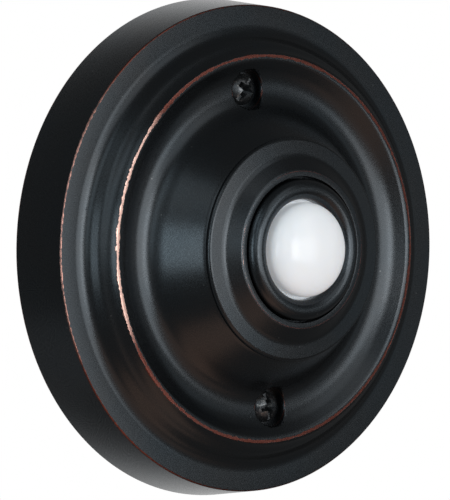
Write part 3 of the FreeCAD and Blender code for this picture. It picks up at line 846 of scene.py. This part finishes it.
def make_screw(name, node, side, turn):
    crown = recess_floor + screw_head_height
    shoulder = recess_floor + screw_head_side
    rise = crown - shoulder
    bend = (screw_head_radius ** 2 + rise ** 2) / (2 * rise)
    tip = -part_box(node)[1].y
    outline = Outline(0, crown)
    edge_angle = math.degrees(math.acos(screw_head_radius / bend))
    row = screw_thread_pitch / thread_rows
    outline.oval((0, crown - bend), bend, bend, 90, edge_angle, 3)
    outline.rounded(screw_head_radius, recess_floor, screw_head_round, (screw_shank_radius, recess_floor))
    outline.line(screw_shank_radius, recess_floor)
    outline.line(screw_shank_radius, 0)
    outline.line(screw_core_radius, -screw_shank_taper)
    outline.rows(screw_core_radius, tip + screw_point, row)
    outline.rows(screw_point_radius, tip, row)
    outline.line(0, tip)
    bm = bmesh.new()
    spun(bm, outline, 64)
    welded(bm)
    threaded(bm, tip, -screw_shank_taper, 0.05 * MM, screw_thread_depth, screw_thread_pitch,
             screw_thread_share, screw_point, screw_thread_pitch)
    bm = cut(bm, cross_head(crown, turn))
    bmesh.ops.translate(bm, verts=bm.verts, vec=(0, 0, side * screw_circle_radius))
    return piece(name, bm, "housing", [STEEL], [node], 40)


def make_slotted_screw(name, node, head_height, shank_radius, turn, material):
    """Small machine screw with a slotted head towards the wall."""
    low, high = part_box(node)
    back, tip = -high.y, -low.y
    head_radius = (high.x - low.x) / 2
    head_top = back + head_height
    outline = Outline(0, back)
    core_radius = shank_radius - small_thread_depth
    outline.rounded(head_radius, back, small_head_round, (head_radius, head_top))
    outline.rounded(head_radius, head_top, small_head_edge, (shank_radius, head_top))
    outline.line(core_radius, head_top)
    outline.rows(core_radius, tip - small_tip_chamfer, small_thread_pitch / small_thread_rows)
    outline.line(shank_radius - 1.6 * small_thread_depth, tip)
    outline.line(0, tip)
    bm = bmesh.new()
    spun(bm, outline, 48)
    welded(bm)
    threaded(bm, head_top, tip - small_tip_chamfer / 2, shank_radius / 2, small_thread_depth,
             small_thread_pitch, small_thread_share, small_thread_pitch, small_thread_pitch)
    reach, half = 2 * head_radius, slot_width / 2
    groove = box_between((-reach, -back - slot_depth, -half), (reach, -back + reach, half))
    bmesh.ops.rotate(groove, verts=groove.verts, matrix=Matrix.Rotation(-math.radians(turn), 3, "Y"))
    bm = cut(bm, [groove])
    bmesh.ops.translate(bm, verts=bm.verts, vec=((low.x + high.x) / 2, 0, (low.z + high.z) / 2))
    return piece(name, bm, "housing", [material], [node], 35)


def make_spring():
    """Compression spring of round wire with ground ends."""
    low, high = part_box("return_spring")
    back, front = -high.y, -low.y
    mean_radius = ((high.x - low.x) - spring_wire) / 2
    turns = (front - back) / spring_pitch + 1
    steps = round(turns * spring_steps)
    wire = bmesh.new()
    place = Matrix.Translation((mean_radius, -(back - spring_pitch / 2), 0))
    ring = bmesh.ops.create_circle(wire, cap_ends=False, radius=spring_wire / 2, segments=12,
                                   matrix=place)
    bmesh.ops.spin(wire, geom=ring["verts"] + list(wire.edges), cent=(0, 0, 0), axis=(0, -1, 0),
                   dvec=(0, -spring_pitch * turns / steps, 0), angle=2 * math.pi * turns, steps=steps,
                   use_merge=False, use_duplicate=False)
    open_edges = [edge for edge in wire.edges if edge.is_boundary]
    bmesh.ops.holes_fill(wire, edges=open_edges, sides=0)
    welded(wire)
    bm = cut(wire, [rod(mean_radius + spring_wire, back, front, steps=96)], "INTERSECT")
    spring = piece("coil_spring", bm, "housing", [ZINC], ["return_spring"], 50)
    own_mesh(spring)
    return spring


def softened(name, node, material, edge=0.08 * MM, body="housing"):
    """The node's own shape as one closed skin with its sharp edges broken."""
    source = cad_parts[node]
    bm = bmesh.new()
    bm.from_mesh(source.data)
    bm.transform(source.matrix_world)
    welded(bm, 1e-6)
    bmesh.ops.dissolve_limit(bm, angle_limit=math.radians(1.0), verts=bm.verts, edges=bm.edges)
    fold = math.radians(50)
    sharp = [line for line in bm.edges if line.is_manifold and line.calc_face_angle() > fold]
    bmesh.ops.bevel(bm, geom=sharp, offset=edge, segments=2, affect="EDGES", profile=0.5,
                    material=-1, clamp_overlap=True)
    welded(bm, 1e-6)
    return piece(name, bm, body, [material], [node], 30)


BRASS = turned_metal("turned_brass", (0.75, 0.55, 0.27, 1), (0.42, 0.29, 0.13, 1), 0.24)
ZINC = turned_metal("zinc_plate", (0.62, 0.62, 0.60, 1), (0.40, 0.40, 0.39, 1), 0.3)
STEEL = blackened_steel("blackened_steel")
BLACK = moulded_plastic("black_moulding", (0.03, 0.03, 0.032, 1))
RESIN = moulded_plastic("lamp_resin", (0.8, 0.8, 0.78, 1), 0.25)
PAINT = banded_paint("resistor_paint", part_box("lamp_resistor")[0].x, resistor_body_length)

make_cover()
make_collar()
make_button()
make_nut()
make_spring()
make_screw("fixing_screw_upper", "mounting_screw_upper", 1, upper_screw_turn)
make_screw("fixing_screw_lower", "mounting_screw_lower", -1, lower_screw_turn)
for side, name in ((-1, "left"), (1, "right")):
    make_slotted_screw("wire_screw_" + name, "terminal_screw_" + name, terminal_head_height,
                       terminal_shank_radius, terminal_screw_turn * side, BRASS)
    softened("strip_" + name, "contact_strip_" + name, BRASS)
    softened("square_washer_" + name, "terminal_washer_" + name, BRASS)
    softened("lead_" + name, "lamp_lead_" + name, ZINC, 0.02 * MM)
for side, name in ((-1, "lower"), (1, "upper")):
    make_slotted_screw("base_screw_" + name, "housing_screw_" + name, housing_head_height,
                       housing_shank_radius, housing_screw_turn * side, ZINC)
softened("toothed_washer", "lock_washer", ZINC)
softened("bridge_cup", "contact_cup", BRASS, body="button")
softened("switch_body", "switch_housing", BLACK)
softened("switch_base", "terminal_base", BLACK)
softened("lamp", "led_lamp", RESIN)
softened("series_resistor", "lamp_resistor", PAINT, 0.05 * MM)


def camera_turn():
    """Rotation from the object's axes to the camera's."""
    turn, roll = math.radians(face_turn), math.radians(face_roll)
    out = Vector((math.sin(turn) * math.cos(roll), math.sin(turn) * math.sin(roll), math.cos(turn)))
    side = Vector((0, 1, 0)).cross(out).normalized()
    rise = out.cross(side)
    angle = math.radians(screw_line_turn)
    up = side * math.cos(angle) + rise * math.sin(angle)
    into = -out
    across = into.cross(up)
    return Matrix((across, into, up)).transposed()


def place_camera():
    turn = camera_turn()
    lip_centre = Vector((0, -lip_height, 0))
    shift = Vector((picture_offset[0], picture_offset[1], -camera_distance)) - turn @ lip_centre
    data = bpy.data.cameras.new("camera")
    data.lens = camera_lens
    data.clip_start = 0.01
    camera = bpy.data.objects.new("camera", data)
    bpy.context.scene.collection.objects.link(camera)
    camera.matrix_world = (Matrix.Translation(shift) @ turn.to_4x4()).inverted()
    bpy.context.scene.camera = camera
    return camera


def towards(camera, azimuth, elevation):
    """Direction from the object, this far right of and above the way to the camera, in degrees."""
    a, e = math.radians(azimuth), math.radians(elevation)
    local = Vector((math.sin(a) * math.cos(e), math.sin(e), math.cos(a) * math.cos(e)))
    return camera.matrix_world.to_3x3() @ local


def softbox(camera, name, azimuth, elevation, distance, width, height, radiance, colour=(1, 1, 1)):
    """Rectangular lamp that faces the object; radiance is how bright its face looks."""
    data = bpy.data.lights.new(name, "AREA")
    data.shape = "RECTANGLE"
    data.size = width
    data.size_y = height
    data.energy = radiance * math.pi * width * height
    data.color = colour
    lamp = bpy.data.objects.new(name, data)
    bpy.context.scene.collection.objects.link(lamp)
    way = towards(camera, azimuth, elevation)
    aim = way.to_track_quat("Z", "Y").to_matrix().to_4x4()
    lamp.matrix_world = Matrix.Translation(way * distance) @ aim


def white_room(camera):
    """World: white to the camera, and to reflections that look past the object; dim elsewhere."""
    world = bpy.data.worlds.new("room")
    bpy.context.scene.world = world
    world.use_nodes = True
    tree = world.node_tree

    def node(kind, **settings):
        made = tree.nodes.new("ShaderNode" + kind)
        for name, value in settings.items():
            setattr(made, name, value)
        return made

    shader = tree.nodes["Background"]
    path = node("LightPath")
    ahead = node("VectorMath", operation="DOT_PRODUCT")
    tree.links.new(node("TexCoord").outputs["Generated"], ahead.inputs[0])
    ahead.inputs[1].default_value = towards(camera, mirrored_white_azimuth, 0)
    behind = node("MapRange", interpolation_type="SMOOTHSTEP")
    tree.links.new(ahead.outputs["Value"], behind.inputs["Value"])
    behind.inputs["From Min"].default_value = mirrored_white_from
    behind.inputs["From Max"].default_value = mirrored_white_full
    seen = node("Math", operation="MAXIMUM")
    tree.links.new(path.outputs["Is Glossy Ray"], seen.inputs[0])
    tree.links.new(path.outputs["Is Transmission Ray"], seen.inputs[1])
    mirrored = node("Math", operation="MULTIPLY")
    tree.links.new(seen.outputs[0], mirrored.inputs[0])
    tree.links.new(behind.outputs["Result"], mirrored.inputs[1])
    white = node("Math", operation="MAXIMUM")
    tree.links.new(path.outputs["Is Camera Ray"], white.inputs[0])
    tree.links.new(mirrored.outputs[0], white.inputs[1])
    strength = node("MapRange")
    tree.links.new(white.outputs[0], strength.inputs["Value"])
    strength.inputs["To Min"].default_value = room_dimness
    strength.inputs["To Max"].default_value = 1.0
    tree.links.new(strength.outputs["Result"], shader.inputs["Strength"])
    shader.inputs["Color"].default_value = (1, 1, 1, 1)


# Panels of light: degrees right of and above the way to the camera, distance, width and height in
# metres, and how bright the panel's face looks
COOL = (0.84, 0.95, 1.0)
WARM = (1.0, 0.54, 0.36)

bpy.context.scene.view_settings.view_transform = "Standard"
camera = place_camera()
white_room(camera)
softbox(camera, "key", 32, 0, 0.9, 0.26, 0.5, 4.8)
softbox(camera, "key_wide", 56, 0, 0.9, 0.50, 0.5, 2.4)
softbox(camera, "key_upper", 50, 35, 0.9, 0.55, 0.45, 0.75)
softbox(camera, "left", -33, 0, 0.9, 0.26, 0.5, 3.0, COOL)
softbox(camera, "left_upper", -40, 38, 0.9, 0.30, 0.45, 1.4, COOL)
softbox(camera, "front", 0, 18, 0.9, 0.28, 0.8, 1.05, COOL)
softbox(camera, "right_rim", 96, 0, 0.9, 0.26, 0.5, 0.3, COOL)
softbox(camera, "table", 45, -40, 0.9, 0.70, 0.45, 0.4, WARM)
softbox(camera, "table_left", -75, -40, 0.9, 0.70, 0.45, 0.15)
softbox(camera, "table_near", 10, -72, 0.9, 0.70, 0.45, 0.6, WARM)
